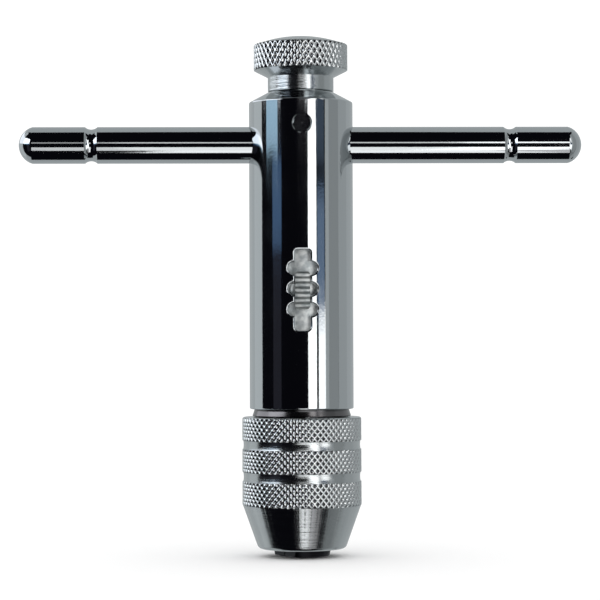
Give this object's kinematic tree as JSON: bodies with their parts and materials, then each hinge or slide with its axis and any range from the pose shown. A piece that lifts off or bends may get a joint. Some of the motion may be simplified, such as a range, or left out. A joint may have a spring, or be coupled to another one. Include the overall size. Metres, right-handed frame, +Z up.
{
  "type": "tap wrench",
  "caption": "Ratchet tap wrench: chromed barrel with sliding T-bar, knurled clamp knob, thumb direction selector and knurled two-jaw chuck.",
  "frame": {"origin": "on the barrel's axis at the tips of the jaws, where the tap's square enters", "axes": "+Z up the barrel from the jaws to the knob, +X along the T-bar, -Y towards the direction selector"},
  "size_m": [0.0922, 0.0194, 0.085],
  "materials": {
    "polished_chrome": "polished bright chrome plate on turned steel",
    "satin_chrome": "satin chrome over turned and knurled steel",
    "nickel_zinc": "matt nickel plate on a pressed and cast part",
    "blackened_steel": "burnished dark steel",
    "black_oxide": "black oxide on hardened steel",
    "turned_steel": "plain turned steel, lightly oiled",
    "hardened_steel": "milled and hardened steel",
    "spring_wire": "drawn spring wire",
    "bronze": "turned bearing bronze"
  },
  "bodies": {
    "barrel": {"barrel": "polished_chrome", "retaining_bush": "blackened_steel", "thrust_washer": "bronze", "pad_guide_pin": "turned_steel"},
    "t_bar": {"t_bar": "polished_chrome"},
    "clamp_pad": {"clamp_pad": "bronze"},
    "clamp_knob": {"clamp_knob": "satin_chrome"},
    "selector_plate": {"selector_plate": "nickel_zinc"},
    "selector_button": {"selector_button": "nickel_zinc", "pawl_spring": "spring_wire"},
    "pawl": {"pawl": "hardened_steel"},
    "spindle": {"spindle": "turned_steel", "retaining_ring": "blackened_steel", "thrust_ball": "turned_steel", "lower_ratchet_wheel": "hardened_steel", "upper_ratchet_wheel": "hardened_steel", "wheel_spacer": "bronze", "wheel_pins": "turned_steel", "jaw_springs": "spring_wire"},
    "stop_ring": {"stop_ring": "blackened_steel"},
    "chuck_sleeve": {"chuck_sleeve": "satin_chrome"},
    "jaw_front": {"jaw_front": "black_oxide"},
    "jaw_rear": {"jaw_rear": "black_oxide"}
  },
  "joints": [
    {"name": "t_bar_slide", "type": "slide", "parent": "barrel", "child": "t_bar", "axis": [1, 0, 0], "range_m": [-0.0343, 0.0343]},
    {"name": "clamp_pad_lift", "type": "slide", "parent": "barrel", "child": "clamp_pad", "axis": [0, 0, 1], "range_m": [0, 0.00076]},
    {"name": "knob_turn", "type": "hinge", "parent": "clamp_pad", "child": "clamp_knob", "pos_m": [0, 0, 0.08], "axis": [0, 0, 1], "range_deg": [0, 360]},
    {"name": "selector_shift", "type": "slide", "parent": "barrel", "child": "selector_plate", "axis": [0, 0, 1], "range_m": [-0.00332, 0.00332]},
    {"name": "selector_press", "type": "slide", "parent": "selector_plate", "child": "selector_button", "axis": [0, -1, 0], "range_m": [0, 0.001], "stiffness_N_per_m": 400, "springref_m": 0.0016, "deforming": ["pawl_spring"]},
    {"name": "pawl_drop", "type": "slide", "parent": "selector_plate", "child": "pawl", "axis": [0, 1, 0], "range_m": [0, 0.0005], "stiffness_N_per_m": 300, "springref_m": 0.0012, "deforming": ["pawl_spring"]},
    {"name": "spindle_turn", "type": "hinge", "parent": "barrel", "child": "spindle", "pos_m": [0, 0, 0.024], "axis": [0, 0, 1], "continuous": true},
    {"name": "stop_ring_travel", "type": "slide", "parent": "spindle", "child": "stop_ring", "axis": [0, 0, -1], "range_m": [0, 0.00676]},
    {"name": "sleeve_turn", "type": "hinge", "parent": "stop_ring", "child": "chuck_sleeve", "pos_m": [0, 0, 0.012], "axis": [0, 0, -1], "range_deg": [0, 1620]},
    {"name": "jaw_front_slide", "type": "slide", "parent": "spindle", "child": "jaw_front", "axis": [0.4848, -0.8746, 0], "range_m": [0, 0.0022], "deforming": ["jaw_springs"]},
    {"name": "jaw_rear_slide", "type": "slide", "parent": "spindle", "child": "jaw_rear", "axis": [-0.4848, 0.8746, 0], "range_m": [0, 0.0022], "deforming": ["jaw_springs"]}
  ],
  "couplings": [
    {"joint": "clamp_pad_lift", "follows": "knob_turn", "m_per_rad": 0.00011937},
    {"joint": "stop_ring_travel", "follows": "sleeve_turn", "m_per_rad": 0.00023873},
    {"joint": "jaw_front_slide", "follows": "sleeve_turn", "m_per_rad": 0.000077569},
    {"joint": "jaw_rear_slide", "follows": "sleeve_turn", "m_per_rad": 0.000077569}
  ]
}
